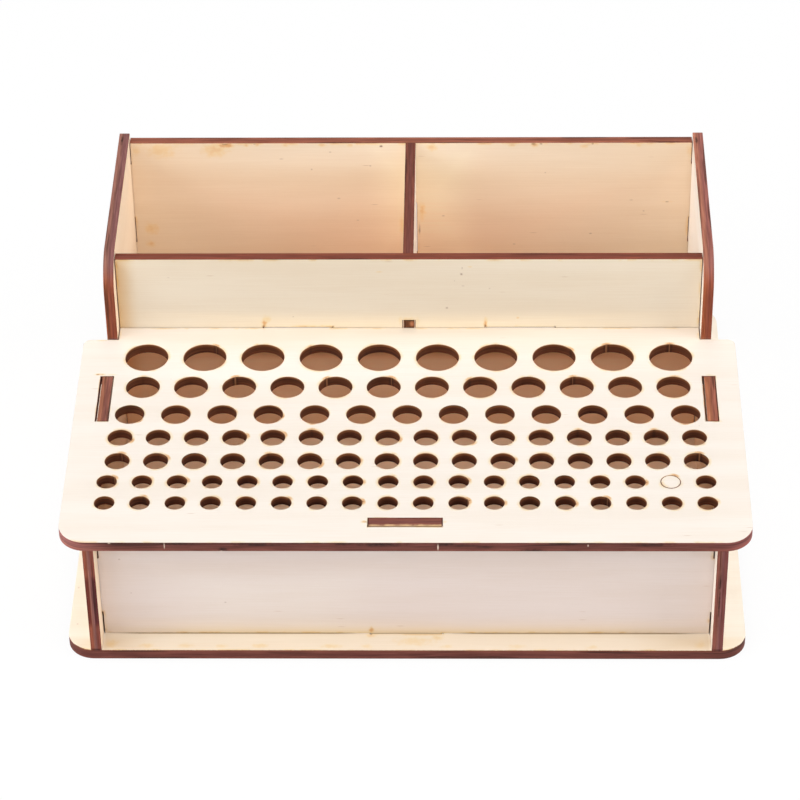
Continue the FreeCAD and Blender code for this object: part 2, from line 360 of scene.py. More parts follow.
# %% [markdown]
# ## Burnt edges
# A laser-cut edge shows the three plies of the sheet, all browned: two reddish outer plies and a
# core whose fibres run the other way. Here and there an outer ply has charred black over a few
# centimetres, because its fibres or its glue burn better there. `Depth` runs from 0 to 1 through the
# sheet and picks the ply. Streaks run along the edge, so their noise is stretched that way. With
# `Two tone`, the plies on one side of the sheet are a lighter brown than those on the other.

# %% Burnt edge group
edge_group, g, given, out = new_group(
    "burnt_plies", "ShaderNodeTree",
    [("Along edge", VECTOR, None), ("Place", VECTOR, None), ("Depth", FLOAT, 0.5), ("Char", FLOAT, 0.5),
     ("Outer ply", COLOUR, None), ("Core ply", COLOUR, None), ("Two tone", FLOAT, 0.0)],
    [("Colour", COLOUR), ("Streak", FLOAT)],
)
CHARRED = (0.030, 0.013, 0.010)
streak = g.noise(given["Along edge"], 1.0, detail=4.0, roughness=0.65)
long_streak = g.noise(g.vector_math("MULTIPLY", given["Along edge"], (0.36, 0.36, 0.36)), 1.0, detail=2.0)
wave = g.times(g.minus(g.noise(given["Place"], 90.0), 0.5), 0.10)
from_middle = g.math("ABSOLUTE", g.minus(g.plus(given["Depth"], wave), 0.5))
core = g.ramp(from_middle, 0.12, 0.19, 1.0, 0.0)
glue = g.ramp(g.math("ABSOLUTE", g.minus(from_middle, 0.155)), 0.0, 0.04, 1.0, 0.0)
rim = g.ramp(from_middle, 0.43, 0.50)
colour = g.mix(core, given["Outer ply"], given["Core ply"])
low_side = g.tint(colour, (1.18, 1.16, 0.98))
high_side = g.tint(colour, (0.80, 0.72, 0.84))
two_tones = g.mix(g.ramp(g.plus(given["Depth"], wave), 0.35, 0.62), low_side, high_side)
colour = g.mix(given["Two tone"], colour, two_tones)
lighter = g.tint(colour, (1.45, 1.46, 1.48))
darker = g.tint(colour, (0.62, 0.57, 0.56))
fine = g.mix(g.ramp(streak, 0.50, 0.72), colour, lighter)
fine = g.mix(g.ramp(streak, 0.52, 0.30), fine, darker)
fine = g.mix(g.times(rim, 0.2), fine, lighter)
colour = g.mix(g.times(glue, 0.45), fine, darker)
charring = g.times(g.ramp(long_streak, 0.55, 0.63), g.minus(1.0, core))
colour = g.mix(g.times(charring, given["Char"], clamp=True), colour, CHARRED)
g.feed(out["Colour"], colour)
g.feed(out["Streak"], streak)
print("group", edge_group.name)


# %% Burnt edge finish
NICK = (0.80, 0.62, 0.50)
GLOWED = (0.45, 0.20, 0.09)
STREAK_LENGTH, STREAK_WIDTH = 75.0, 2200.0


def zoned_plies(g, height, zones):
    """The colours of outer plies and core. Each zone takes over between two heights in mm."""
    outer_ply, core_ply = zones[0][2]
    for start, end, (outer, core) in zones[1:]:
        here = g.ramp(height, start * MM, end * MM)
        outer_ply, core_ply = g.mix(here, outer_ply, outer), g.mix(here, core_ply, core)
    return outer_ply, core_ply


def burnt_edge(name, sheet, zones, holes=None, two_tone=0.0, burns=(), nicks=(), nick=NICK, shades=()):
    """The cut edge of a board, whose sheet has an axis, a low and a high level. Holes have their own
    zones and shades."""
    sheet_axis, low, high = sheet
    material, g, surface = new_material(name)
    place = g.add("ShaderNodeTexCoord").outputs["Object"]
    stretch = [STREAK_LENGTH] * 3
    stretch[sheet_axis] = STREAK_WIDTH
    along = g.add("ShaderNodeMapping", Vector=place, Scale=stretch).outputs[0]
    through, height = g.split(place)[sheet_axis], g.split(place)["Z"]
    outer_ply, core_ply = zoned_plies(g, height, zones)
    if holes:
        hole_zones, hole_shades = holes
        in_hole = g.math("GREATER_THAN", attribute(g, "mark_strength"), 0.05)
        hole_plies = zoned_plies(g, height, hole_zones)
        # Painted shadow: the hole box darkens the foot of the hole walls.
        hole_outer, hole_core = (shaded(g, place, ply, hole_shades) for ply in hole_plies)
        outer_ply, core_ply = g.mix(in_hole, outer_ply, hole_outer), g.mix(in_hole, core_ply, hole_core)
    # The edge's boxes tint its plies: real char on some boards, painted shade on others.
    outer_ply, core_ply = shaded(g, place, outer_ply, shades), shaded(g, place, core_ply, shades)
    burnt = g.add("ShaderNodeGroup", {"node_tree": edge_group}, Place=place, Char=0.6, Two_tone=two_tone,
                  Outer_ply=outer_ply, Core_ply=core_ply, Along_edge=along,
                  Depth=g.ramp(through, low, high, smooth=False))
    start = g.times(attribute(g, "start_mark"), attribute(g, "mark_strength"))
    streak = g.times(g.ramp(start, 0.40, 0.80), 0.55)
    charred = g.math("MAXIMUM", streak, stain_chain(g, place, burns))
    colour = g.mix(charred, burnt.outputs["Colour"], CHARRED)
    colour = g.mix(g.times(g.ramp(start, 0.90, 1.0), 0.55), colour, GLOWED)
    colour = g.mix(stain_chain(g, place, nicks), colour, nick)
    dress(g, surface, colour, roughness=0.62, specular=0.12, relief=0.35, height=burnt.outputs["Streak"])
    return material


# %% [markdown]
# ## Reading a board's outline
# The frame already holds each board at its real size, so nothing is measured twice: the board's cut
# outlines are read from its solid. They are the borders of its upper face, walked so that the wood
# is always on the left. An outer outline then turns one way and a hole the other.

# %% Outlines of a board
def sheet_of(name):
    """The axis that a board's sheet is square to, and its low and high levels there."""
    low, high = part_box(name)
    axis = min(range(3), key=lambda i: high[i] - low[i])
    return axis, low[axis], high[axis]


def outlines(name):
    """The closed cut outlines of a board, as lists of points in the plane of its sheet."""
    axis, low, high = sheet_of(name)
    across, up = (axis + 1) % 3, (axis + 2) % 3
    work = bmesh.new()
    work.from_mesh(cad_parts[name].data)
    bmesh.ops.remove_doubles(work, verts=work.verts, dist=1e-6)

    def is_face(polygon):
        return all(abs(v.co[axis] - high) < 1e-6 for v in polygon.verts)

    onward = {}
    for polygon in filter(is_face, work.faces):
        for corner in polygon.loops:
            if sum(is_face(p) for p in corner.edge.link_faces) == 1:
                onward[corner.vert.index] = corner.link_loop_next.vert.index
    work.verts.ensure_lookup_table()
    loops = []
    while onward:
        first = here = next(iter(onward))
        loop = []
        while here in onward:
            loop.append(Vector((work.verts[here].co[across], work.verts[here].co[up])))
            here = onward.pop(here)
        loops.append(loop)
    work.free()
    return loops


def round_hole(loop):
    """The centre and radius of a round outline, or nothing for any other."""
    centre = sum(loop, Vector((0, 0))) / len(loop)
    radii = [(p - centre).length for p in loop]
    is_round = len(loop) > 20 and max(radii) - min(radii) < 0.01 * MM
    return (centre, sum(radii) / len(radii)) if is_round else None


for name in sorted(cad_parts):
    found = outlines(name)
    print(name, len(found), "outlines,", sum(bool(round_hole(loop)) for loop in found), "round")

# %% [markdown]
# ## A board with lips
# A knife-sharp edge looks like a computer's, so each cut gets a lip: a slope a tenth of a
# millimetre wide between face and wall. The lip is burnt like the wall, but along the sides and the
# back of the deck and of the base the upper one stayed as pale as the face. The face inside the lip
# is filled with triangles. They follow rows of points at set distances from the cuts, because the
# scorching is stored in those points. Filling between free points is what a Delaunay triangulation
# is good at.

# %% Outlines, divided and moved
FACE, EDGE = 0, 1
X_AXIS, Y_AXIS, Z_AXIS = range(3)
LIP = 0.12 * MM
SCORCH_WIDTH = 1.6 * MM
RING_STEPS = (0.45 * MM, 0.95 * MM, 1.6 * MM, 3.0 * MM)
RING_SPACING = 1.6
SHORTEST_STEP, LONGEST_STEP = 1.2 * MM, 3.0 * MM
FIELD_STEP = 9.0 * MM
ROW_CLEARANCE, FIELD_CLEARANCE = 0.93, 1.4
SHARP_ANGLE = math.radians(30)
BOARD_LENGTH = 100 * MM
FRONT_HEADING = 0.25


def width_of(loop):
    return max(p.x for p in loop) - min(p.x for p in loop)


def divided(loop, longest=LONGEST_STEP):
    """The outline with its long stretches divided."""
    points = []
    for a, b in zip(loop, loop[1:] + loop[:1]):
        count = max(1, math.ceil((b - a).length / longest))
        points += [a.lerp(b, i / count) for i in range(count)]
    return points


def moved_in(loop, distance):
    """The outline moved into the wood, which lies on its left, with mitred corners."""
    moved = []
    for i, here in enumerate(loop):
        back = (here - loop[i - 1]).normalized()
        on = (loop[(i + 1) % len(loop)] - here).normalized()
        left_back, left_on = Vector((-back.y, back.x)), Vector((-on.y, on.x))
        moved.append(here + (left_back + left_on) * distance / (1 + left_back.dot(left_on)))
    return moved


print("base board", round(width_of(outlines("base_plate")[0]) / MM, 1), "mm wide")

# %% [markdown]
# A mesh is a list of corners and a list of faces that name them. The class below collects both, ring
# by ring: a ring of corners follows an outline at one level, and a strip of faces joins two rings.


# %% Lips and walls
class BoardMesh:
    """Collects the corners and faces of a board, given by plane coordinates and a level."""

    def __init__(self, name):
        self.name = name
        self.axis, self.low, self.high = sheet_of(name)
        self.corners, self.nearness, self.polygons, self.finish = [], [], [], []

    def corner(self, point, level, nearness):
        place = [0.0, 0.0, 0.0]
        place[self.axis] = level
        place[(self.axis + 1) % 3], place[(self.axis + 2) % 3] = point
        self.corners.append(place)
        self.nearness.append(nearness)
        return len(self.corners) - 1

    def ring(self, loop, level, nearness):
        return [self.corner(p, level, nearness) for p in loop]

    def strip(self, upper, lower, finish):
        """Joins two rings, the first nearer to the upper face."""
        for i, a in enumerate(upper):
            b = (i + 1) % len(upper)
            self.polygons.append((a, lower[i], lower[b], upper[b]))
            self.finish.append(finish)

    def cut_wall(self, loop):
        """Lip, wall and lip along an outline. Gives the rings at the upper and the lower face."""
        lip = moved_in(loop, LIP)
        face_high = self.ring(lip, self.high, 1.0)
        wall_high = self.ring(loop, self.high - LIP, 1.0)
        wall_low = self.ring(loop, self.low + LIP, 1.0)
        face_low = self.ring(lip, self.low, 1.0)
        self.strip(face_high, wall_high, EDGE)
        if self.axis == Z_AXIS and width_of(loop) > BOARD_LENGTH:
            for i, (a, b) in enumerate(zip(loop, loop[1:] + loop[:1])):
                if (b - a).normalized().x < FRONT_HEADING:
                    self.finish[i - len(loop)] = FACE
        self.strip(wall_high, wall_low, EDGE)
        self.strip(wall_low, face_low, EDGE)
        return face_high, face_low

    def to_mesh(self, materials):
        mesh = bpy.data.meshes.new(self.name)
        mesh.from_pydata(self.corners, [], self.polygons)
        mesh.attributes.new("nearness", "FLOAT", "POINT").data.foreach_set("value", self.nearness)
        for material in materials:
            mesh.materials.append(material)
        mesh.polygons.foreach_set("material_index", self.finish)
        shade_smooth(mesh)
        mesh.update()
        return mesh


def shade_smooth(mesh):
    mesh.polygons.foreach_set("use_smooth", [True] * len(mesh.polygons))
    mesh.set_sharp_from_angle(angle=SHARP_ANGLE)


print("ready to cut walls with lips of", round(LIP / MM, 2), "mm")

# %% [markdown]
# How near a point is to the next cut is asked thousands of times. A search tree answers that fast:
# it holds the cuts as low walls, and finds the wall that is nearest.


# %% Points in a face
def cut_finder(loops):
    """A search tree that gives the distance from a point of the sheet to the nearest cut."""
    corners, quads = [], []
    for loop in loops:
        start = len(corners)
        count = len(loop)
        corners += [(p.x, p.y, z) for p in loop for z in (-1 * MM, 1 * MM)]
        for i in range(count):
            a, b = start + 2 * i, start + 2 * ((i + 1) % count)
            quads.append((a, b, b + 1, a + 1))
    tree = BVHTree.FromPolygons(corners, quads)
    return lambda p: tree.find_nearest(Vector((p[0], p[1], 0.0)))[3]


def is_inside(point, loops):
    """Whether a point of the sheet is in the wood: it crosses an odd number of outlines."""
    crossings = 0
    for loop in loops:
        for a, b in zip(loop, loop[1:] + loop[:1]):
            if (a.y > point[1]) != (b.y > point[1]):
                crossings += a.x + (point[1] - a.y) * (b.x - a.x) / (b.y - a.y) > point[0]
    return crossings % 2 == 1


def free_points(loops, distance_to_cut):
    """Rows of points beside every cut, and a loose field of points in the rest of the face."""
    points = []
    for step in RING_STEPS:
        for loop in loops:
            row = moved_in(divided(loop, max(step * RING_SPACING, SHORTEST_STEP)), step)
            clear = [p for p in row if distance_to_cut(p) > step * ROW_CLEARANCE]
            points += [p for p in clear if is_inside(p, loops)]
    xs, ys = [p.x for loop in loops for p in loop], [p.y for loop in loops for p in loop]
    for i in range(math.ceil((max(xs) - min(xs)) / FIELD_STEP)):
        for j in range(math.ceil((max(ys) - min(ys)) / FIELD_STEP)):
            p = Vector((min(xs) + (i + 0.5) * FIELD_STEP, min(ys) + (j + 0.5) * FIELD_STEP))
            if distance_to_cut(p) > RING_STEPS[-1] * FIELD_CLEARANCE and is_inside(p, loops):
                points.append(p)
    return points


base_loops = [divided(loop) for loop in outlines("base_plate")]
print(len(free_points(base_loops, cut_finder(base_loops))), "points in the base board's face")


# %% Whole boards
def filled_board(name, materials):
    """A whole board: lips and walls along its cuts, and filled faces between them."""
    board = BoardMesh(name)
    loops = [divided(loop) for loop in outlines(name)]
    rims = [board.cut_wall(loop) for loop in loops]
    distance_to_cut = cut_finder(loops)
    rim_points, runs = [], []
    for loop in loops:
        start, lip = len(rim_points), moved_in(loop, LIP)
        runs += [(start + i, start + (i + 1) % len(lip)) for i in range(len(lip))]
        rim_points += lip
    inner = free_points(loops, distance_to_cut)
    made = delaunay_2d_cdt(rim_points + inner, runs, [], 1, 1e-9)
    points, triangles, origins = made[0], made[2], made[3]
    loop_of = [k for k, loop in enumerate(loops) for _ in loop]
    high_rims = [c for high, low in rims for c in high]
    low_rims = [c for high, low in rims for c in low]
    above, below, group = [], [], []
    for point, origin in zip(points, origins):
        source = min(origin) if origin else len(rim_points)
        if source < len(rim_points):
            above.append(high_rims[source])
            below.append(low_rims[source])
            group.append(loop_of[source])
            continue
        nearness = max(0.0, 1.0 - (distance_to_cut(point) - LIP) / SCORCH_WIDTH)
        above.append(board.corner(point, board.high, nearness))
        below.append(board.corner(point, board.low, nearness))
        group.append(None)
    for triangle in triangles:
        groups = {group[i] for i in triangle}
        middle = sum((points[i] for i in triangle), Vector((0, 0))) / 3
        if None not in groups and len(groups) == 1 and not is_inside(middle, loops):
            continue
        a, b, c = (points[i] for i in triangle)
        turn = (b - a).cross(c - a)
        order = triangle if turn > 0 else triangle[::-1]
        board.polygons.append(tuple(above[i] for i in order))
        board.polygons.append(tuple(below[i] for i in reversed(order)))
        board.finish += [FACE, FACE]
    return board.to_mesh(materials)


def place_piece(name, mesh):
    """Shows a rebuilt board in place of the frame's solid of that name."""
    piece = new_object(name + "_cut", mesh)
    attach(piece, "root")
    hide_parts(name)
    print(piece.name, len(mesh.polygons), "faces")
    return piece


# %% [markdown]
# ## Finishes of each board
# Each board has its own tint, the wood's tone with painted light and shade in it: the walls of the
# bins are warmer than the deck, partly for light bounced between them, and the low front board is
# greyer, partly for the deck's shade above it. The grain runs along each board's long side. Stains are
# listed board by board, with their places read from the photograph.

# %% Stains of each board
FACE_FRONT = {"rear_board": 99.75, "bin_front_board": 22.25, "lower_front_board": -94.25}
DECK_TOP, BASE_TOP = 56.7, 4.0
SKIN = 2.0


def on_front(board, marks):
    """Stains on the front face of an upright board, from (x, z, reach across, reach up, strength)."""
    y = FACE_FRONT[board]
    return [((x, y, z), (across, SKIN, up), strength) for x, z, across, up, strength in marks]


def on_top(level, marks):
    """Stains on the upper face of a flat board, from (x, y, reach across, reach back, strength)."""
    return [((x, y, level), (across, back, SKIN), strength) for x, y, across, back, strength in marks]


HAZES = {
    "rear_board": on_front("rear_board", [
        (-99.6, 86, 9.5, 6, 0.5), (-78, 86.2, 8, 5.5, 0.6), (-73.5, 88.4, 6, 2.4, 0.9),
        (-105.5, 47.5, 4.5, 5, 0.55), (-106, 40, 3, 2.4, 0.6), (-65.5, 88.6, 1.8, 1.5, 0.7),
        (-61.1, 88.8, 1.8, 1.4, 0.7), (-50, 88.6, 2.2, 1.5, 0.6), (-35.3, 88.6, 3.4, 1.4, 0.6),
        (-24.1, 88.6, 2.2, 1.5, 0.6), (-109.5, 86, 3, 4, 0.4), (8.4, 87.5, 3.5, 3, 0.6),
        (40.2, 88.4, 2.4, 1.6, 0.6), (49.5, 88.4, 2.6, 1.8, 0.8), (69.1, 87.8, 2.6, 1.8, 0.5),
        (90.4, 88.4, 2.2, 1.6, 0.5), (4.3, 56.2, 2.2, 7, 0.6), (-3.8, 49, 1.6, 7, 0.45),
        (102.8, 60.6, 5, 0.7, 0.3), (111, 86, 2.5, 4, 0.4)]),
    "bin_front_board": on_front("bin_front_board", [
        (-55.9, 58, 1.6, 5.6, 1), (-54.6, 61, 2.6, 2.6, 0.5), (29.6, 58, 1.4, 4.4, 1),
        (-112, 86.5, 2.6, 4, 0.5), (23.5, 85.9, 1.6, 0.6, 0.5), (41.9, 61.4, 0.9, 0.8, 0.6),
        (-3.2, 60, 1.6, 3.4, 0.35), (3.2, 60, 1.6, 3.4, 0.35), (-11, 83.5, 1.8, 0.7, 0.6)]),
    "lower_front_board": on_front("lower_front_board", [
        (-13.1, 5.6, 1.8, 2.6, 0.9)]),
    "hole_deck": on_top(DECK_TOP, [
        (-117.4, -6.8, 3.2, 1, 0.9), (-112.5, -6.9, 3.2, 0.9, 0.5), (114.6, -34.9, 3.4, 1.1, 0.8),
        (114.4, -7.3, 3, 0.9, 0.5), (-14.6, -92.2, 2.2, 1.2, 0.8), (14.2, -92.2, 1.6, 1.2, 0.5)]),
    "base_plate": on_top(BASE_TOP, [
        (-13.1, -95.4, 2.8, 1.8, 0.7), (3, -98.6, 12, 4, 0.45), (11.5, -96.6, 3.5, 2.4, 0.5),
        (-95.9, -101, 4.2, 2, 0.5), (-81.2, -101, 5, 2, 0.45), (-67.9, -101.2, 3.6, 1.8, 0.45),
        (-53.9, -101, 5, 2, 0.5), (-27.7, -101.2, 6.5, 2, 0.5), (-14.5, -101.2, 4, 1.8, 0.45),
        (14.9, -101.3, 3.6, 1.8, 0.4), (40.2, -101.3, 5, 1.8, 0.4), (68.4, -101.6, 4, 1.6, 0.4),
        (-108.8, -100, 3.6, 3.6, 0.5), (108, -100.5, 3.6, 3.6, 0.35)]),
}
BURNS = {
    "rear_board": on_front("rear_board", [
        (-11.8, 87.9, 0.9, 0.7, 1), (-16.2, 78.4, 0.7, 0.4, 0.6), (-39.7, 76.7, 0.6, 0.6, 0.4),
        (-51.7, 81.8, 1.1, 0.4, 0.3), (-21.7, 51.6, 0.9, 0.5, 0.3), (-29.2, 62.5, 1, 0.5, 0.3),
        (-32.1, 85.1, 0.9, 0.4, 0.3), (-74, 88.9, 1.6, 0.5, 0.8), (-62, 89, 1, 0.4, 0.6),
        (48.9, 88.9, 1.3, 0.5, 0.7), (51.8, 88.9, 0.9, 0.5, 0.6), (72.3, 88.9, 0.7, 0.5, 0.6),
        (102.8, 60.6, 1, 0.5, 0.6), (12.8, 53.8, 1, 0.5, 0.4), (53.7, 75, 0.5, 0.5, 0.4),
        (72.4, 44.9, 0.9, 0.5, 0.4), (93.5, 56.1, 0.7, 0.5, 0.35), (41.5, 39.6, 0.9, 0.4, 0.35),
        (88.4, 61.5, 1.2, 0.35, 0.3), (3.2, 47, 0.6, 4, 0.5)]),
    "bin_front_board": on_front("bin_front_board", [
        (20.2, 82.4, 0.8, 0.9, 0.75), (20.5, 85.3, 0.5, 1, 0.35), (14.7, 66.2, 0.8, 0.8, 0.6),
        (20.8, 76.8, 0.8, 0.4, 0.25), (-91.7, 80.9, 0.8, 0.35, 0.35), (17.6, 79.2, 0.3, 0.5, 0.3),
        (31, 75.5, 0.6, 0.5, 0.25), (-56.1, 57.3, 0.7, 1.1, 0.9), (29.4, 57.4, 0.7, 1.2, 0.9),
        (-29.4, 57.1, 0.6, 0.6, 0.7), (56.3, 57.1, 0.6, 0.6, 0.7), (-44.6, 62, 0.3, 0.3, 0.5)]),
    "lower_front_board": on_front("lower_front_board", [
        (-66.3, 19.4, 0.6, 0.5, 0.35), (-104.1, 40.4, 0.6, 0.5, 0.45), (-100.7, 24, 0.5, 0.4, 0.3)]),
    "hole_deck": on_top(DECK_TOP, [
        (-118, -6.9, 0.9, 0.5, 0.7), (114.9, -34.8, 1, 0.5, 0.6), (-14, -92.3, 0.6, 0.5, 0.6),
        (108.7, -37.6, 0.3, 0.3, 0.6), (-89.9, -9.6, 0.3, 0.3, 0.5)]),
    "base_plate": on_top(BASE_TOP, [
        (-123.6, -69.1, 0.7, 0.8, 0.3), (-122.2, -89.3, 0.6, 0.5, 0.3), (-13.2, -94.8, 0.9, 0.6, 0.8)]),
}
print(sum(len(marks) for marks in [*HAZES.values(), *BURNS.values()]), "stains")

# %% [markdown]
# Pale boards throw light at each other, and the closed space under the deck turns brown with light
# bounced from wood to wood. The boards' shades are painted light and shade: they take over what the
# lamps alone don't give there, such as the warm foot of a wall or a dark seam where two boards meet.
# Edges differ more than faces, so they have zones by height, each with a colour for the outer plies
# and one for the core.

# %% Grain and wood of each board
GRAIN = {
    "base_plate": X_AXIS, "hole_deck": X_AXIS, "leftover_disc": X_AXIS, "lower_front_board": X_AXIS,
    "bin_front_board": X_AXIS, "rear_board": X_AXIS,
    "bin_divider": Y_AXIS, "side_board_left": Y_AXIS, "side_board_right": Y_AXIS,
}
# Painted light and shade: besides the wood's tone, these tints hold light bounced between the boards and
# the shade under the deck.
WOOD_AND_PAINTED_LIGHT = {
    "hole_deck": (0.817, 0.752, 0.685), "leftover_disc": (0.815, 0.745, 0.68),
    "base_plate": (0.915, 0.845, 0.745), "lower_front_board": (0.745, 0.643, 0.597),
    "bin_front_board": (0.845, 0.750, 0.612), "rear_board": (0.914, 0.740, 0.558),
    "bin_divider": (0.93, 0.80, 0.68), "side_board_left": (0.975, 0.80, 0.615),
    "side_board_right": (0.99, 0.92, 0.845),
}
print(len(WOOD_AND_PAINTED_LIGHT), "tints of wood")

# %% Colours of the cut edges
DECK_EDGE = ((0.170, 0.055, 0.042), (0.138, 0.046, 0.036))
HOLE_LOW = ((0.117, 0.038, 0.018), (0.106, 0.035, 0.017))
HOLE_TOP = ((0.225, 0.083, 0.032), (0.167, 0.058, 0.022))
HOLE_RIM = ((0.480, 0.280, 0.140), (0.480, 0.280, 0.140))
BASE_EDGE = ((0.166, 0.051, 0.037), (0.134, 0.041, 0.032))
BIN_EDGE = ((0.199, 0.054, 0.032), (0.166, 0.047, 0.031))
DIVIDER_EDGE = ((0.167, 0.051, 0.034), (0.138, 0.044, 0.034))
DIVIDER_TAB = ((0.145, 0.053, 0.022), (0.130, 0.048, 0.021))
LOWER_EDGE = ((0.195, 0.065, 0.048), (0.163, 0.057, 0.046))
REAR_EDGE = ((0.288, 0.099, 0.061), (0.225, 0.074, 0.048))
RISER_EDGE = ((0.300, 0.083, 0.040), (0.257, 0.072, 0.040))
# The low front edges of the side boards are darker than the risers: partly real char, partly painted
# shade under the deck's overhang.
LEFT_LOW_EDGE = ((0.234, 0.066, 0.042), (0.229, 0.093, 0.075))
LEFT_TAB = ((0.270, 0.105, 0.069), (0.206, 0.078, 0.056))
LEFT_TOP_EDGE = ((0.243, 0.108, 0.090), (0.186, 0.081, 0.070))
RIGHT_LOW_EDGE = ((0.198, 0.063, 0.050), (0.212, 0.082, 0.071))
RIGHT_TAB = ((0.343, 0.126, 0.074), (0.278, 0.102, 0.060))
RIGHT_TOP_EDGE = ((0.348, 0.137, 0.100), (0.284, 0.111, 0.083))


def side_zones(low_edge, tab, top_edge):
    """Zones of a side board: low front edge, tab in the deck, riser above the deck, top edge."""
    return [(0, 0, low_edge), (52.5, 53.0, tab), (57.2, 57.8, RISER_EDGE), (81, 90, top_edge)]


EDGE_ZONES = {
    "base_plate": [(0, 0, BASE_EDGE)], "hole_deck": [(0, 0, DECK_EDGE)],
    "leftover_disc": [(0, 0, DECK_EDGE)], "lower_front_board": [(0, 0, LOWER_EDGE)],
    "bin_front_board": [(0, 0, BIN_EDGE)], "rear_board": [(0, 0, REAR_EDGE)],
    "bin_divider": [(0, 0, DIVIDER_TAB), (61.5, 62.5, DIVIDER_EDGE)],
    "side_board_left": side_zones(LEFT_LOW_EDGE, LEFT_TAB, LEFT_TOP_EDGE),
    "side_board_right": side_zones(RIGHT_LOW_EDGE, RIGHT_TAB, RIGHT_TOP_EDGE),
}
# Painted shade in the holes: the walls darker low down and lighter at the top and rim; the box adds a
# painted shadow at the walls' foot, strongest in the front rows.
HOLES = ([(0, 0, HOLE_LOW), (55.0, 56.3, HOLE_TOP), (56.3, 56.6, HOLE_RIM)],
         [((0, -90, 52.7), (140, 75, 3.2), 0.9, (0.38, 0.36, 0.40))])
print(sum(len(zones) for zones in EDGE_ZONES.values()), "zones")

# %% Burns and nicks on the cut edges
DECK_FRONT = -103.8
EDGE_BURNS = {
    "side_board_left": [((-114.6, 99, 90.5), (0.8, 5, 4), 1)],
    "side_board_right": [((113.6, -104, 37.5), (0.6, 6, 7), 1), ((113.7, -104, 27), (0.55, 6, 15), 0.8),
                         ((113.2, 99, 90.5), (0.9, 5, 4), 1)],
    "bin_front_board": [((50, 24.4, 86.7), (6, 1.3, 2), 0.9), ((-30.5, 24.3, 86.7), (3, 1.1, 2), 0.8)],
    "hole_deck": [((x, DECK_FRONT, z), (across, 3, up), strength) for x, z, across, up, strength in (
        (-103.5, 56.2, 7, 1.1, 0.6), (-80.5, 56.3, 9, 1.1, 0.8), (-65.1, 53.6, 2.6, 1.3, 1),
        (-53.5, 56.1, 13, 1.2, 0.9), (-22, 56.2, 6, 1, 0.8), (-8.7, 56, 13, 1.4, 1),
        (14.5, 56.1, 6, 1.1, 1), (21.5, 55.5, 9, 0.9, 0.7), (28.5, 54.8, 5.5, 1.1, 0.7),
        (46, 53.2, 6.2, 1.1, 0.9), (56.5, 56.2, 8.5, 1, 0.9), (89, 55.9, 11, 1.1, 0.8))],
    "bin_divider": [((-1.3, 22.2, 58.7), (0.9, 1, 2.6), 0.6), ((0.4, 22.2, 60.4), (2.4, 1, 0.8), 0.8)],
}
NICKS = {
    "bin_divider": [((1.1, 22.2, 58.4), (1.4, 1, 1.9), 0.9)],
    "lower_front_board": [((x, -94.25, 56.7), (reach, 1.1, 1.1), strength) for x, reach, strength in (
        (-10.5, 5, 0.8), (-5.5, 4, 1), (0, 6, 0.9), (5.5, 5, 1), (10.5, 5.5, 1))],
    "hole_deck": [((x, DECK_FRONT, z), (across, 3, up), strength) for x, z, across, up, strength in (
        (11.9, 54.6, 0.35, 2.2, 1), (-86.2, 55.2, 0.35, 1.8, 0.9), (65.6, 55.5, 0.4, 0.7, 0.9),
        (-106, 56.4, 0.7, 0.3, 0.8), (-65.8, 52.7, 0.9, 0.5, 1))],
}
print(sum(len(marks) for marks in [*EDGE_BURNS.values(), *NICKS.values()]), "marks on edges")

# %% Shades of each board
CLOSED_SPACE = ((0, -34, 28.35), (113, 57.25, 25.35), 0.002)
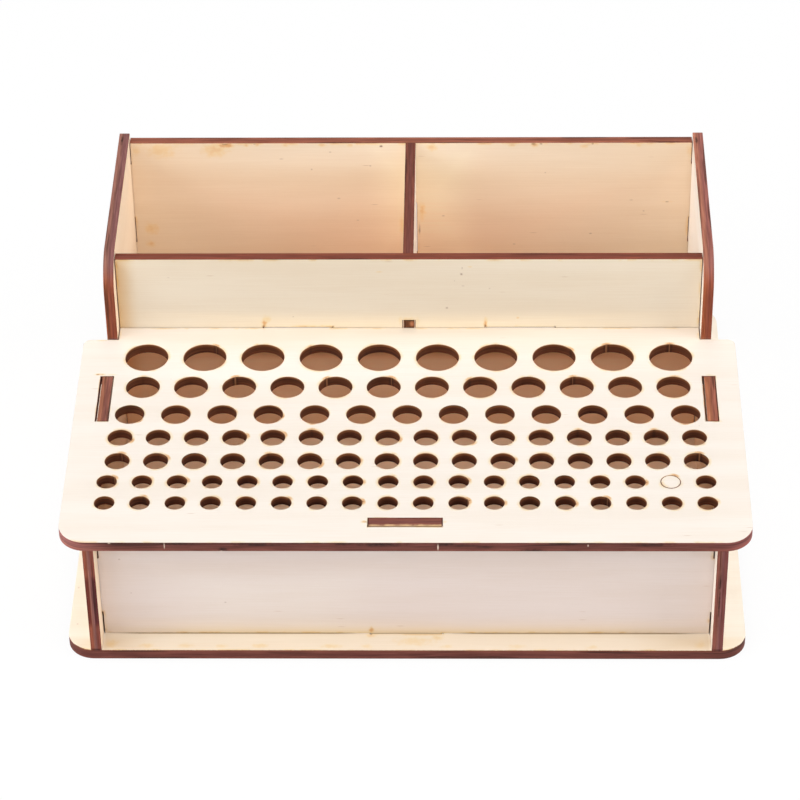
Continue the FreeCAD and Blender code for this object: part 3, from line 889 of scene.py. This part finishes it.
# Painted bounce light and shade: in the closed space under the deck each board's tint turns warmer, for
# light bounced from wood to wood.
PAINTED_SHADE_AND_BOUNCE = {
    "base_plate": (1.09, 0.935, 0.81), "hole_deck": (1.19, 0.98, 0.79),
    "bin_front_board": (1.37, 1.07, 0.90), "lower_front_board": (1.28, 1.12, 0.89),
    "side_board_left": (1.0, 0.92, 0.86), "side_board_right": (1.0, 0.82, 0.66),
}
SHADES = {
    "side_board_left": [], "side_board_right": [],
    # Base: painted shadow of the deck on the front strip, darker towards its ends, and painted shade and
    # light on the base under the deck.
    "base_plate": [
        ((0, -99.6, 4), (111.9, 5.2, 2), 0.01, (0.88, 0.84, 0.78)),
        ((0, 10, 4), (113, 32, 2), 0.4, (0.98, 0.92, 0.88)),
        ((0, 17, 4), (113, 8, 2), 0.8, (1.02, 1.09, 1.12)),
        ((-112, -99.6, 4), (24, 5.2, 2), 0.9, (0.905, 0.855, 0.79)),
        ((112, -99.6, 4), (34, 5.2, 2), 0.9, (0.93, 0.88, 0.80))],
    # Low front board: the tab seen in the deck's slot is a warmer tan; painted bounce light makes the
    # foot warmer and yellower, and painted light brightens the left half and the top under the deck.
    "lower_front_board": [
        ((0, -94.5, 55.3), (16, 3, 2.2), 0.1, (0.88, 0.68, 0.47)),
        ((0, -94.5, 0), (140, 3, 14), 0.9, (1.09, 1.035, 0.89)),
        ((0, -94.5, 0), (140, 3, 9), 0.9, (0.95, 0.89, 0.63)),
        ((-50, -94.5, 18), (50, 3, 24), 0.8, (1.04, 1.06, 1.045)),
        ((0, -94.5, 52), (140, 3, 16), 0.9, (1.0, 1.025, 1.06))],
    # Deck: painted shade and bounce from the bin front, darker and yellower on the rear strip before the
    # bins.
    "hole_deck": [
        ((0, 25, 56.7), (130, 24, 2), 0.9, (0.92, 0.89, 0.83)),
        ((100, 25, 56.7), (40, 24, 2), 0.9, (0.985, 0.95, 0.92))],
    # Bin front: painted shadow of the side board at the left end, painted light from the deck along the
    # foot, and painted shade on the face below the deck, strongest just under it and again near the base.
    "bin_front_board": [
        ((-114, 22, 70), (11, 3, 60), 0.9, (0.85, 0.70, 0.50)),
        ((0, 22, 56.5), (130, 3, 10), 0.95, (1.16, 1.14, 1.08)),
        ((0, 22.25, 48.2), (113, 3, 8.3), 0.8, (0.58, 0.48, 0.37)),
        ((0, 22.25, 11), (113, 3, 6.5), 0.4, (0.92, 0.905, 0.895))],
    # Rear board: painted shade, darker and pinker low down, and painted light at the top and beside the
    # divider.
    "rear_board": [
        ((0, 99.75, 30), (130, 3, 56), 0.9, (1.04, 0.885, 0.835)),
        ((0, 99.75, 94), (130, 3, 24), 0.9, (1.09, 1.15, 1.23)),
        ((5, 99.75, 60), (26, 3, 36), 0.9, (1.11, 1.20, 1.19))],
}
for board, tint in PAINTED_SHADE_AND_BOUNCE.items():
    SHADES[board].append((*CLOSED_SPACE, tint))
# Painted shadow in the seams at the low board's foot, and painted shade on the side boards' inner faces
# seen through the slits at the low board's ends.
for side in (-1, 1):
    seam, slit = side * 62.5, side * 112
    SHADES["base_plate"].append(((seam, -94.4, 4), (49, 0.3, 2), 0.3, (0.60, 0.52, 0.42)))
    SHADES["lower_front_board"].append(((seam, -94.5, 4), (49, 3, 0.38), 0.3, (0.45, 0.38, 0.28)))
    for z, up in ((8.5, 6.3), (46.8, 5.8)):
        board = "side_board_right" if side > 0 else "side_board_left"
        SHADES[board].append(((slit, -90.2, z), (2, 3.9, up), 0.05, (0.20, 0.14, 0.08)))
# Real char on a stretch of the left side board's front plies; painted shade at the feet of both side
# boards' front edges, where they meet the base; the deck's edge lighter towards its front corners.
EDGE_CHAR_AND_SHADES = {
    "hole_deck": [((-132, -98, 54.7), (31, 20, 20), 0.85, (2.25, 2.6, 2.9)),
                  ((132, -98, 54.7), (28, 20, 20), 0.85, (1.75, 1.65, 1.9))],
    "side_board_left": [((-115.35, -104, 28.2), (0.70, 9, 13.6), 0.3, (0.46, 0.33, 0.38)),
                        ((-112.75, -104, 28.2), (0.85, 9, 13.6), 0.3, (0.46, 0.35, 0.50)),
                        ((-114, -104, 4.3), (2.4, 9, 1.0), 0.6, (0.40, 0.36, 0.36))],
    "side_board_right": [((114, -104, 4.3), (2.4, 9, 1.0), 0.6, (0.50, 0.45, 0.42))],
}
print(sum(len(shades) for shades in [*SHADES.values(), *EDGE_CHAR_AND_SHADES.values()]), "shades")

# %% Make the finishes
BROWN_LINE = {"base_plate": 0.24}
TWO_TONES = {"side_board_left": 0.6, "side_board_right": 0.7, "hole_deck": 0.35}
NICK_COLOUR = {"bin_divider": (0.52, 0.20, 0.095), "lower_front_board": (0.66, 0.42, 0.22)}
GRAIN_SHIFT = 3.7
FINISHES = {}
for number, (name, grain_axis) in enumerate(GRAIN.items()):
    face = plywood_face(
        name + "_face", grain_axis, WOOD_AND_PAINTED_LIGHT[name], HAZES.get(name, ()), BURNS.get(name, ()),
        SHADES.get(name, ()), brown_line=BROWN_LINE.get(name, 0.0), turn=GRAIN_SHIFT * number,
    )
    edge = burnt_edge(
        name + "_edge", sheet_of(name), EDGE_ZONES[name], holes=HOLES if name == "hole_deck" else None,
        two_tone=TWO_TONES.get(name, 0.0), burns=EDGE_BURNS.get(name, ()), nicks=NICKS.get(name, ()),
        nick=NICK_COLOUR.get(name, NICK), shades=EDGE_CHAR_AND_SHADES.get(name, ()),
    )
    FINISHES[name] = (face, edge)
print(len(FINISHES), "pairs of finishes")

# %% Boards without round holes
for name in GRAIN:
    if name != "hole_deck":
        place_piece(name, filled_board(name, FINISHES[name]))

# %% [markdown]
# ## The perforated deck
# The deck's holes follow a rule: seven rows, five sizes, even steps. That is work for Geometry
# Nodes. One group makes a row: it wraps a grid round a circle to make the wall of one hole with
# its lips and a narrow collar of face, and copies it along a line. The copies are turned by
# random amounts, so that the beam's starting mark sits elsewhere in each hole.

# %% Rows of holes, read from the frame
rows = {}
rim_loops = []
for loop in outlines("hole_deck"):
    hole = round_hole(loop)
    if hole:
        rows.setdefault(round(hole[0].y / MM, 1), []).append(hole)
    else:
        rim_loops.append(loop)
rows = [sorted(rows[y], key=lambda hole: hole[0].x) for y in sorted(rows)]
for holes in rows:
    print("row of", len(holes), "holes of", round(2 * holes[0][1] / MM, 2), "mm")

# %% Node group for one row of holes
SIDES = 40
MARK_REACH = 2.6 * MM
SECOND_DRAW = 31.0


def stored(graph, geometry, name, value, domain="POINT"):
    """The geometry with a value stored under a name, which a finish can read."""
    kind = {"data_type": "FLOAT", "domain": domain}
    node = graph.add("GeometryNodeStoreNamedAttribute", kind, Geometry=geometry, Name=name, Value=value)
    return node.outputs[0]


collar_inputs = [
    ("Holes", "NodeSocketInt", 10), ("Radius", FLOAT, 4 * MM),
    ("First", VECTOR, None), ("Last", VECTOR, None),
    ("Top", FLOAT, 0.0), ("Bottom", FLOAT, 0.0), ("Lip", FLOAT, LIP), ("Collar", FLOAT, SCORCH_WIDTH),
    ("Mark angle", FLOAT, 0.0), ("Mark spread", FLOAT, 1.0), ("Mark reach", FLOAT, MARK_REACH),
    ("Seed", "NodeSocketInt", 0),
]
row_group, g, given, out = new_group(
    "hole_row", "GeometryNodeTree", collar_inputs, [("Geometry", "NodeSocketGeometry")]
)
third = g.math("DIVIDE", given["Collar"], 3.0)
two_thirds = g.times(third, 2.0)
sixth = g.math("DIVIDE", third, 2.0)
wall_top = g.minus(given["Top"], given["Lip"])
wall_bottom = g.plus(given["Bottom"], given["Lip"])
profile = [
    (given["Collar"], given["Top"], 0.0), (two_thirds, given["Top"], 1 / 3),
    (third, given["Top"], 2 / 3), (sixth, given["Top"], 5 / 6), (given["Lip"], given["Top"], 1.0),
    (0.0, wall_top, 1.0), (0.0, wall_bottom, 1.0),
    (given["Lip"], given["Bottom"], 1.0), (given["Collar"], given["Bottom"], 0.0),
]
grid = g.add("GeometryNodeMeshGrid", Vertices_X=SIDES + 1, Vertices_Y=len(profile))
index = g.add("GeometryNodeInputIndex").outputs[0]
column = g.math("FLOOR", g.math("DIVIDE", g.plus(index, 0.5), float(len(profile))))
level = g.minus(index, g.times(column, float(len(profile))))
pick = g.add("GeometryNodeIndexSwitch", {"data_type": "VECTOR"})
while len(pick.index_switch_items) < len(profile):
    pick.index_switch_items.new()
g.feed(pick.inputs["Index"], level)
for k, (outwards, height, nearness) in enumerate(profile):
    g.feed(pick.inputs[k + 1], g.combine(outwards, height, nearness))
chosen = g.split(pick.outputs[0])
angle = g.times(column, 2 * math.pi / SIDES)
reach = g.plus(given["Radius"], chosen["X"])
across = g.times(reach, g.math("COSINE", angle))
up = g.times(reach, g.math("SINE", angle))
around = g.combine(across, up, chosen["Y"])
marked = stored(g, grid.outputs["Mesh"], "nearness", chosen["Z"])
flat_place = g.vector_math("MULTIPLY", around, (1.0, 1.0, 0.0))
from_start = g.vector_math("DISTANCE", flat_place, g.combine(given["Radius"]))
start_mark = g.math("DIVIDE", from_start, given["Mark reach"])
start_mark = g.math("SUBTRACT", 1.0, start_mark, clamp=True)
start_mark = g.times(start_mark, g.math("GREATER_THAN", chosen["Z"], 0.01))
marked = stored(g, marked, "start_mark", start_mark)
wrapped = g.add("GeometryNodeSetPosition", Geometry=marked, Position=around)
closed = g.add("GeometryNodeMergeByDistance", Geometry=wrapped.outputs[0], Distance=1e-6)
line = g.add("GeometryNodeMeshLine", {"mode": "END_POINTS"}, Count=given["Holes"])
g.feed(line.inputs["Start Location"], given["First"])
g.feed(line.inputs["Offset"], given["Last"])
wild = g.add("FunctionNodeRandomValue", {"data_type": "FLOAT"}, Seed=given["Seed"])
for operation, limit in zip(("SUBTRACT", "ADD"), in_use(wild.inputs, "VALUE")):
    g.feed(limit, g.math(operation, given["Mark angle"], given["Mark spread"]))
copies = g.add("GeometryNodeInstanceOnPoints", Points=line.outputs[0], Instance=closed.outputs[0])
g.feed(copies.inputs["Rotation"], g.combine(z=in_use(wild.outputs, "VALUE")[0]))
other_seed = g.plus(given["Seed"], SECOND_DRAW)
strength = g.add("FunctionNodeRandomValue", {"data_type": "FLOAT"}, Seed=other_seed)
power = g.math("POWER", in_use(strength.outputs, "VALUE")[0], 1.4)
power = g.math("MULTIPLY_ADD", power, 1.05, 0.12)
named = stored(g, copies.outputs[0], "mark_strength", power, domain="INSTANCE")
real = g.add("GeometryNodeRealizeInstances", Geometry=named)
g.feed(out["Geometry"], real.outputs[0])
print("group", row_group.name, "with", len(profile), "levels")

# %% [markdown]
# The deck's outer outline and slots aren't round, so they come as a mesh of lips and walls, as on
# the other boards. In the photograph each tab leans to one side of its slot, so the slots are moved
# by a quarter of a millimetre within their play. The tree below joins rim and rows, finds every
# open border at the upper and the lower level, and fills between the borders.

# %% Rim of the deck
SLOT_COLLAR = 0.7 * MM
SLOT_LENGTH = 10 * MM
TAB_LEAN = 0.25 * MM
rim = BoardMesh("hole_deck")
for loop in rim_loops:
    loop = divided(loop)
    width = SCORCH_WIDTH
    if width_of(loop) < BOARD_LENGTH:
        width = SLOT_COLLAR
        lean = Vector((0, -TAB_LEAN)) if width_of(loop) > SLOT_LENGTH else Vector((-TAB_LEAN, 0))
        loop = [p + lean for p in loop]
    face_high, face_low = rim.cut_wall(loop)
    inner = moved_in(loop, width)
    rim.strip(rim.ring(inner, rim.high, 0.0), face_high, FACE)
    rim.strip(face_low, rim.ring(inner, rim.low, 0.0), FACE)
deck_piece = new_object("hole_deck_cut", rim.to_mesh(FINISHES["hole_deck"]))
print("rim of", len(rim_loops), "outlines")

# %% Node tree of the whole deck
MARKS = {
    "angle": (0.5, 0.5, 0.6, 0.4, -0.8, 1.5, 1.3), "spread": (0.7, 0.7, 1.4, 1.4, 1.2, 1.0, 0.9),
    "collar": (1.0, 1.0, 1.0, 1.0, 0.60, 1.0, 1.0),
}
HOLE_LIP = 0.07 * MM
PALE_LIPS_FROM = (118 * MM, 30 * MM)
FACES_FRONT = -0.18
WALL_TILT, LIP_TILT = 0.6, 0.3
TOP, BOTTOM = rim.high, rim.low
MIDDLE = (TOP + BOTTOM) / 2
deck_inputs = [
    ("Rim", "NodeSocketGeometry", None), ("Lip", FLOAT, HOLE_LIP), ("Collar", FLOAT, SCORCH_WIDTH),
    ("Mark reach", FLOAT, MARK_REACH), ("Seed", "NodeSocketInt", 5),
]
deck_tree, g, given, out = new_group(
    "perforated_deck", "GeometryNodeTree", deck_inputs, [("Geometry", "NodeSocketGeometry")]
)
join = g.add("GeometryNodeJoinGeometry")
g.feed(join.inputs[0], given["Rim"])
for number, holes in enumerate(rows):
    first, last = holes[0][0], holes[-1][0]
    row = g.add(
        "GeometryNodeGroup", {"node_tree": row_group},
        Holes=len(holes), Radius=holes[0][1], First=(first.x, first.y, 0), Last=(last.x, last.y, 0),
        Top=TOP, Bottom=BOTTOM, Lip=given["Lip"],
        Collar=g.times(given["Collar"], MARKS["collar"][number]),
        Mark_angle=MARKS["angle"][number], Mark_spread=MARKS["spread"][number],
        Mark_reach=given["Mark reach"], Seed=g.plus(given["Seed"], float(number)),
    )
    g.feed(join.inputs[0], row.outputs[0])
open_border = g.add("FunctionNodeCompare", {"data_type": "INT", "operation": "EQUAL"})
faces_beside = g.add("GeometryNodeInputMeshEdgeNeighbors").outputs[0]
for socket, value in zip(in_use(open_border.inputs, "INT"), (faces_beside, 1)):
    g.feed(socket, value)
spot = g.split(g.add("GeometryNodeInputPosition").outputs[0])
parts = g.add("GeometryNodeJoinGeometry")
g.feed(parts.inputs[0], join.outputs[0])
for level, side in ((TOP, "GREATER_THAN"), (BOTTOM, "LESS_THAN")):
    chosen = g.add("FunctionNodeBooleanMath", {"operation": "AND"})
    g.feed(chosen.inputs[0], open_border.outputs[0])
    g.feed(chosen.inputs[1], g.math(side, spot["Z"], MIDDLE))
    borders = g.add("GeometryNodeMeshToCurve", Mesh=join.outputs[0], Selection=chosen.outputs[0])
    fill = g.add("GeometryNodeFillCurve", Curve=borders.outputs[0])
    lift = g.add("GeometryNodeSetPosition", Geometry=fill.outputs[0], Offset=(0, 0, level))
    sheet = lift.outputs[0]
    if level == BOTTOM:
        sheet = g.add("GeometryNodeFlipFaces", Mesh=sheet).outputs[0]
    g.feed(parts.inputs[0], sheet)
welded = g.add("GeometryNodeMergeByDistance", Geometry=parts.outputs[0], Distance=2e-6)
real = g.add("GeometryNodeRealizeInstances", Geometry=welded.outputs[0])
pale = g.add("GeometryNodeSetMaterial", Geometry=real.outputs[0], Material=FINISHES["hole_deck"][FACE])
facing = g.split(g.add("GeometryNodeInputNormal").outputs[0])
between_ends = g.math("LESS_THAN", g.math("ABSOLUTE", spot["X"]), PALE_LIPS_FROM[X_AXIS])
before_back = g.math("LESS_THAN", spot["Y"], PALE_LIPS_FROM[Y_AXIS])
inner = g.times(between_ends, before_back)
brown_lip = g.math("MAXIMUM", inner, g.math("LESS_THAN", facing["Y"], FACES_FRONT))
steepness = g.math("MULTIPLY_ADD", brown_lip, LIP_TILT, WALL_TILT)
is_cut = g.math("LESS_THAN", g.math("ABSOLUTE", facing["Z"]), steepness)
burnt = g.add("GeometryNodeSetMaterial", Geometry=pale.outputs[0], Selection=is_cut)
g.feed(burnt.inputs["Material"], FINISHES["hole_deck"][EDGE])
g.feed(out["Geometry"], burnt.outputs[0])
print("tree", deck_tree.name, "with", len(deck_tree.nodes), "nodes")

# %% Make the deck
grow = deck_piece.modifiers.new("perforations", "NODES")
grow.node_group = deck_tree
evaluated = deck_piece.evaluated_get(bpy.context.evaluated_depsgraph_get())
deck_mesh = bpy.data.meshes.new_from_object(evaluated)
deck_piece.modifiers.remove(grow)
deck_mesh.materials.pop(index=0)
shade_smooth(deck_mesh)
bpy.data.objects.remove(deck_piece)
place_piece("hole_deck", deck_mesh)
test = bmesh.new()
test.from_mesh(deck_mesh)
open_edges = sum(len(e.link_faces) != 2 for e in test.edges)
print("open edges:", open_edges, "volume cm3:", round(test.calc_volume() / (10 * MM) ** 3, 2))
test.free()
print([m and m.name for m in deck_mesh.materials], [a.name for a in deck_mesh.attributes])

# %% [markdown]
# ## Floor and light
# The stand was photographed on white. The floor is pale, and shows plain white to the camera with
# a trace of the stand's shadow left in it. The light is that of a photographer's tent: soft light
# from seven large lamps. Two at the sides and two in the front corners light the walls and edges,
# and one in front and one overhead light the faces. Their powers were fitted to the photograph. A
# low one behind lights the back, which the photograph doesn't show, and leaves no gloss.

# %% Floor and light
def shows_white(graph):
    """1 for a ray from the camera, or one that a shiny or clear surface passes on."""
    rays = graph.add("ShaderNodeLightPath").outputs
    passed_on = graph.math("MAXIMUM", rays["Is Glossy Ray"], rays["Is Transmission Ray"])
    return graph.math("MAXIMUM", rays["Is Camera Ray"], passed_on)


FLOOR_REACH = 6.0
FLOOR_DROP = 0.3 * MM
SKY_STRENGTH = 0.02
corners = [(x * FLOOR_REACH, y * FLOOR_REACH, 0) for x, y in ((-1, -1), (1, -1), (1, 1), (-1, 1))]
floor_mesh = bpy.data.meshes.new("floor")
floor_mesh.from_pydata(corners, [], [(0, 1, 2, 3)])
floor = new_object("floor", floor_mesh)
floor.location.z = -FLOOR_DROP
white, g, surface = new_material("white_floor")
g.feed(surface.inputs["Base Color"], (0.86, 0.86, 0.86))
surface.inputs["Roughness"].default_value = 0.9
surface.inputs["Specular IOR Level"].default_value = 0.0
glow = g.add("ShaderNodeEmission", Color=(1, 1, 1), Strength=1.0)
seen = g.times(shows_white(g), 0.92)
blend = g.add("ShaderNodeMixShader")
for socket, value in zip(blend.inputs, (seen, surface.outputs[0], glow.outputs[0])):
    g.feed(socket, value)
g.feed(white.node_tree.nodes["Material Output"].inputs["Surface"], blend.outputs[0])
floor_mesh.materials.append(white)

world = bpy.data.worlds.new("white_tent")
world.use_nodes = True
bpy.context.scene.world = world
g = Graph(world.node_tree)
tent = world.node_tree.nodes["Background"]
g.feed(tent.inputs["Color"], (1, 1, 1))
g.feed(tent.inputs["Strength"], g.math("MULTIPLY_ADD", shows_white(g), 1.0 - SKY_STRENGTH, SKY_STRENGTH))

STAND_MIDDLE = Vector((0, 0, 0.05))
for name, place, size, power in (
    ("left_lamp", (-1.4, -0.2, 0.9), 1.2, 15.5), ("right_lamp", (1.4, -0.2, 0.9), 1.2, 17.1),
    ("left_front_lamp", (-1.1, -1.1, 1.0), 1.0, 8.5), ("right_front_lamp", (1.1, -1.1, 1.0), 1.0, 3.7),
    ("front_lamp", (0.0, -1.5, 1.3), 1.2, 8.6), ("top_lamp", (0.0, -0.2, 1.6), 1.4, 10.1),
    ("back_lamp", (0.0, 1.7, 0.32), 0.6, 13.0),
):
    light = bpy.data.lights.new(name, "AREA")
    light.shape = "SQUARE"
    light.size = size
    light.energy = power
    lamp = new_object(name, light)
    lamp.location = place
    lamp.visible_glossy = name != "back_lamp"
    lamp.rotation_euler = (STAND_MIDDLE - Vector(place)).to_track_quat("-Z", "Y").to_euler()
print("light ready")
